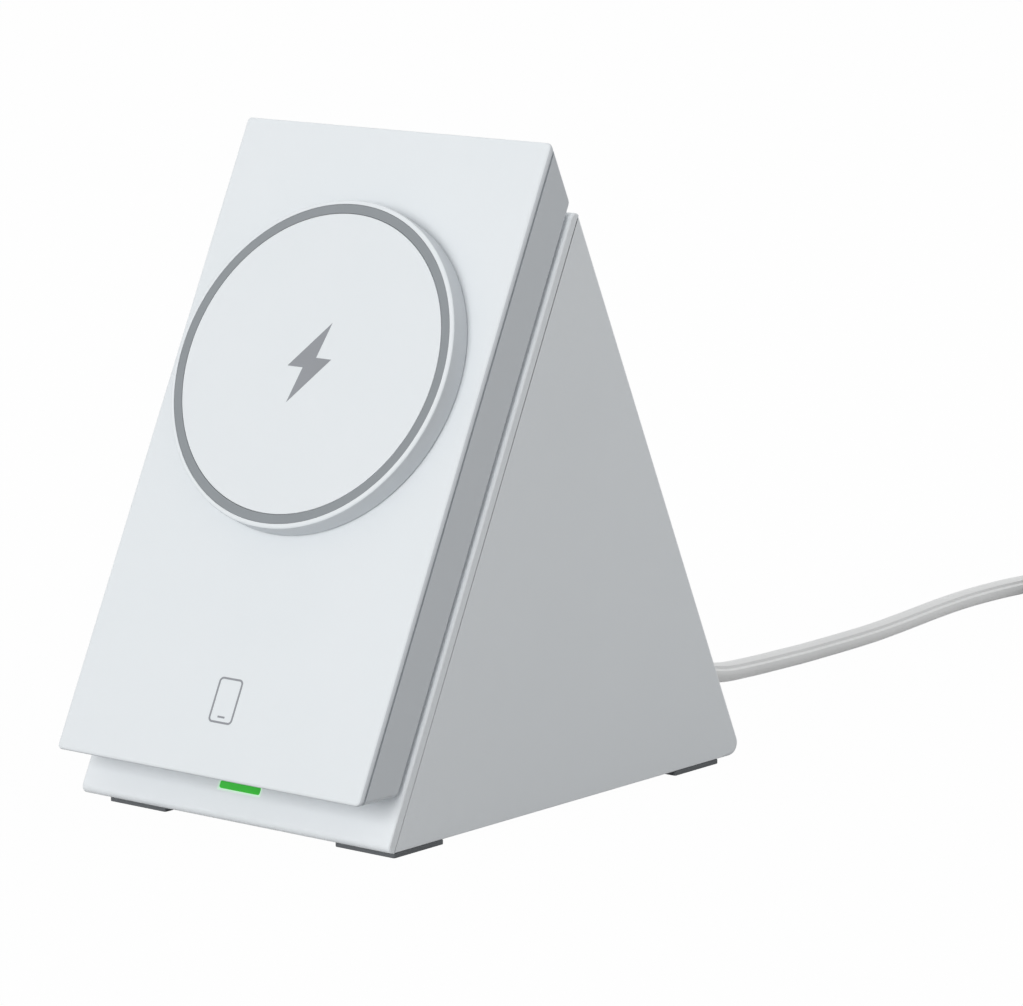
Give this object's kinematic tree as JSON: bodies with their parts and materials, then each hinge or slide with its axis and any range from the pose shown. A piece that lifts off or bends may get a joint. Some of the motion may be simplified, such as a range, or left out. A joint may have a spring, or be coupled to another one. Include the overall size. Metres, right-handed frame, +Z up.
{
  "type": "wireless charging stand",
  "caption": "Wedge-shaped wireless charging stand with a tilting phone panel and raised magnetic puck, a watch puck and earbud seat behind, and a supply cable.",
  "frame": {"origin": "on the table under the middle of the stand", "axes": "+Z up, +X to the stand's right as its phone panel is faced from the front, so -Y is the side the panel faces"},
  "size_m": [0.0833, 0.3123, 0.1133],
  "materials": {
    "panel_white": "satin white moulded plastic of the phone panel and its puck",
    "stand_white": "satin white moulded plastic of the stand",
    "puck_white": "smooth white face discs",
    "ring_grey": "mid grey silicone grip ring and seat pad",
    "mark_grey": "mid grey ink laid in a shallow recess",
    "foot_grey": "dull grey rubber",
    "cable_white": "soft white cable jacket and plug grips",
    "light_green": "lit green light bar",
    "steel": "plain steel",
    "copper": "copper winding",
    "ferrite": "dark grey ferrite sheet",
    "board": "green circuit board",
    "chip": "black moulded component bodies",
    "flex": "amber ribbon cable",
    "carrier": "plain grey-white moulding inside"
  },
  "bodies": {
    "stand": {"main_shell": "stand_white", "front_cover": "stand_white", "base_plate": "stand_white", "ballast_plate": "steel", "base_screws": "steel", "foot_front_right": "foot_grey", "foot_front_left": "foot_grey", "foot_rear_right": "foot_grey", "foot_rear_left": "foot_grey", "main_board": "board", "board_parts": "chip", "usb_socket": "steel", "status_light": "light_green", "light_board": "board", "stand_flex": "flex", "hinge_bracket": "steel", "bracket_screws": "steel", "watch_puck": "stand_white", "watch_dish": "puck_white", "watch_magnet": "steel", "watch_coil": "copper", "watch_ferrite": "ferrite", "earbud_pad": "ring_grey", "earbud_coil": "copper", "earbud_ferrite": "ferrite", "plug_shell": "steel", "plug_grip": "cable_white", "cable": "cable_white", "cable_coil": "cable_white", "cable_tie": "foot_grey", "far_plug_shell": "steel", "far_plug_grip": "cable_white"},
    "panel": {"panel_shell": "panel_white", "panel_back": "panel_white", "panel_screws": "steel", "hinge_leaves": "steel", "leaf_screws": "steel", "hinge_pins": "steel", "hinge_washers": "steel", "puck_rim": "panel_white", "puck_face": "puck_white", "grip_ring": "ring_grey", "bolt_mark": "mark_grey", "phone_mark": "mark_grey", "phone_magnets": "steel", "magnet_yoke": "steel", "phone_coil": "copper", "phone_ferrite": "ferrite", "coil_carrier": "carrier", "phone_board": "board", "phone_chips": "chip", "panel_flex": "flex"}
  },
  "joints": [
    {"name": "panel_tilt", "type": "hinge", "parent": "stand", "child": "panel", "pos_m": [0, -0.00136, 0.10305], "axis": [-1, 0, 0], "range_deg": [0, 35]}
  ]
}
